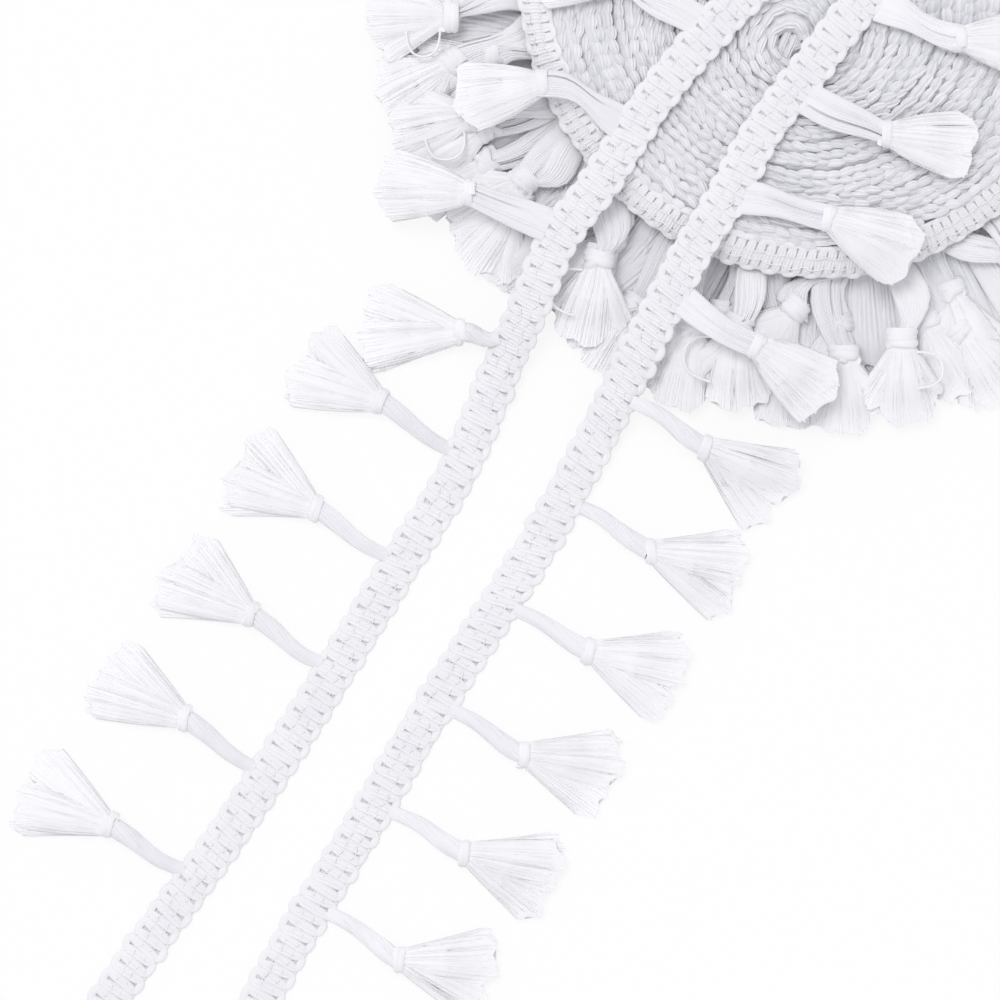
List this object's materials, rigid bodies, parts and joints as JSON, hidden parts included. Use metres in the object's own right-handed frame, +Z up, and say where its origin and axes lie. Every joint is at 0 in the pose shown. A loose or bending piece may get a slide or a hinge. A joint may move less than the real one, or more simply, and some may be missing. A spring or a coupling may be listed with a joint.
{
  "type": "tassel fringe trim, wound in a roll with two loose runs",
  "caption": "White cotton braid with tassels along one edge, wound flat into a roll on its splayed fringe, with two loose runs draped over it and out on the table.",
  "frame": {"origin": "on the table under the middle of the roll, at the centre of the fringe bed's flat underside", "axes": "+Z up from the table; the loose runs lead away from the roll towards -X and -Y; +Y along the longest side of the whole lay-out"},
  "size_m": [0.3564, 0.4329, 0.0283],
  "materials": {
    "braid_cotton": "soft matt white cotton gimp cord with a faint sheen",
    "tassel_cotton": "matt white loosely plied cotton yarn"
  },
  "bodies": {
    "root": {"wound_braid": "braid_cotton", "wound_fringe": "tassel_cotton", "left_braid": "braid_cotton", "right_braid": "braid_cotton", "left_tassel_01": "tassel_cotton", "left_tassel_02": "tassel_cotton", "left_tassel_03": "tassel_cotton", "left_tassel_04": "tassel_cotton", "left_tassel_05": "tassel_cotton", "left_tassel_06": "tassel_cotton", "left_tassel_07": "tassel_cotton", "left_tassel_08": "tassel_cotton", "left_tassel_09": "tassel_cotton", "left_tassel_10": "tassel_cotton", "left_tassel_11": "tassel_cotton", "left_tassel_12": "tassel_cotton", "right_tassel_01": "tassel_cotton", "right_tassel_02": "tassel_cotton", "right_tassel_03": "tassel_cotton", "right_tassel_04": "tassel_cotton", "right_tassel_05": "tassel_cotton", "right_tassel_06": "tassel_cotton", "right_tassel_07": "tassel_cotton", "right_tassel_08": "tassel_cotton", "right_tassel_09": "tassel_cotton", "right_tassel_10": "tassel_cotton", "right_tassel_11": "tassel_cotton", "right_tassel_12": "tassel_cotton"}
  },
  "joints": []
}
